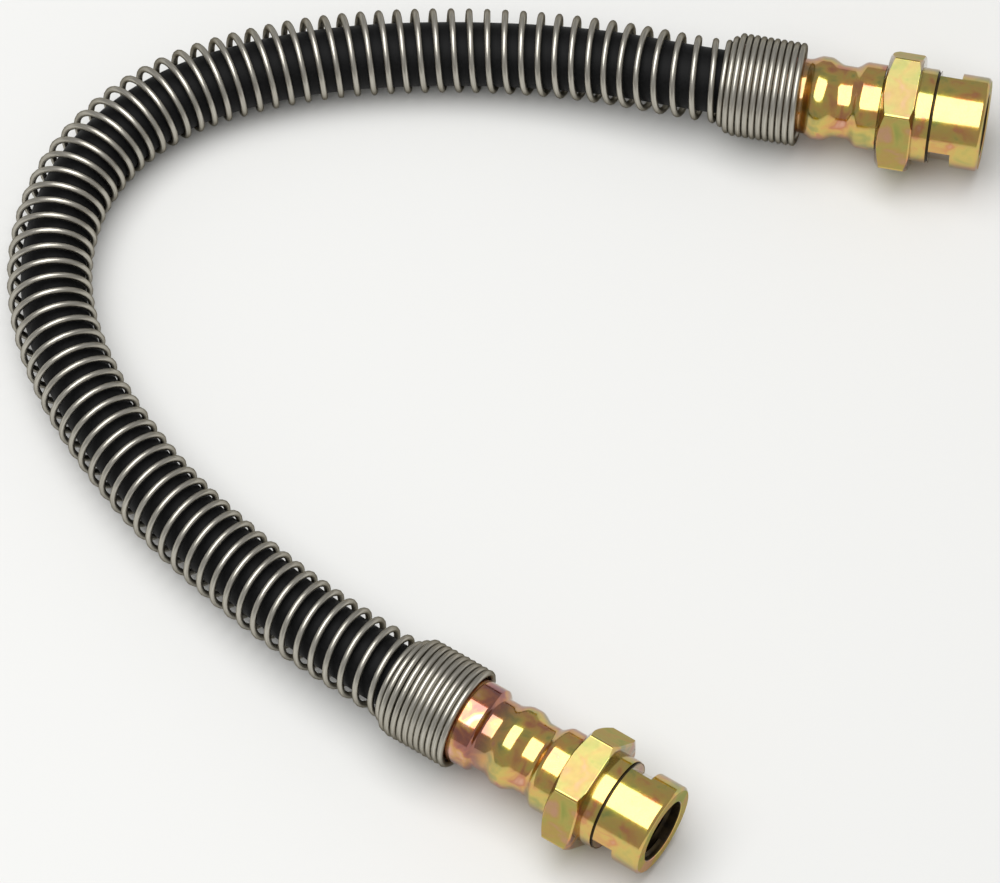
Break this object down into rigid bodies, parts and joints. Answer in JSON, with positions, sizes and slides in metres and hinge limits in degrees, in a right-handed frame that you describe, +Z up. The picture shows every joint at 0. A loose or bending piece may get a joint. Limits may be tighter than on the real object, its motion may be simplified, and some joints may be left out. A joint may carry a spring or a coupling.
{
  "type": "hydraulic brake hose",
  "caption": "Black rubber hydraulic brake hose bent in an open loop, with a steel coil guard and a crimped female hexagon fitting at each end.",
  "frame": {"origin": "on the floor, midway between the two end fittings in length and width (bottom centre of their common box)", "axes": "+X along the near fitting's axis, out of its port; +Z up; +Y from the near fitting towards the far one"},
  "size_m": [0.1473, 0.1507, 0.0192],
  "materials": {
    "hose_rubber": "black EPDM cover, smooth, slightly satin",
    "spring_steel": "drawn grey spring wire, plain, softly shining",
    "yellow_zinc": "turned steel, zinc plated and yellow passivated, gold with a green and pink iridescence",
    "yellow_zinc_crimp": "pressed steel, zinc plated and yellow passivated, gold to copper",
    "plain_steel": "plain turned steel"
  },
  "bodies": {
    "root": {"hose": "hose_rubber", "spring_guard": "spring_steel", "near_fitting": "yellow_zinc", "near_ferrule": "yellow_zinc_crimp", "near_nipple": "plain_steel", "far_fitting": "yellow_zinc", "far_ferrule": "yellow_zinc_crimp", "far_nipple": "plain_steel"}
  },
  "joints": []
}
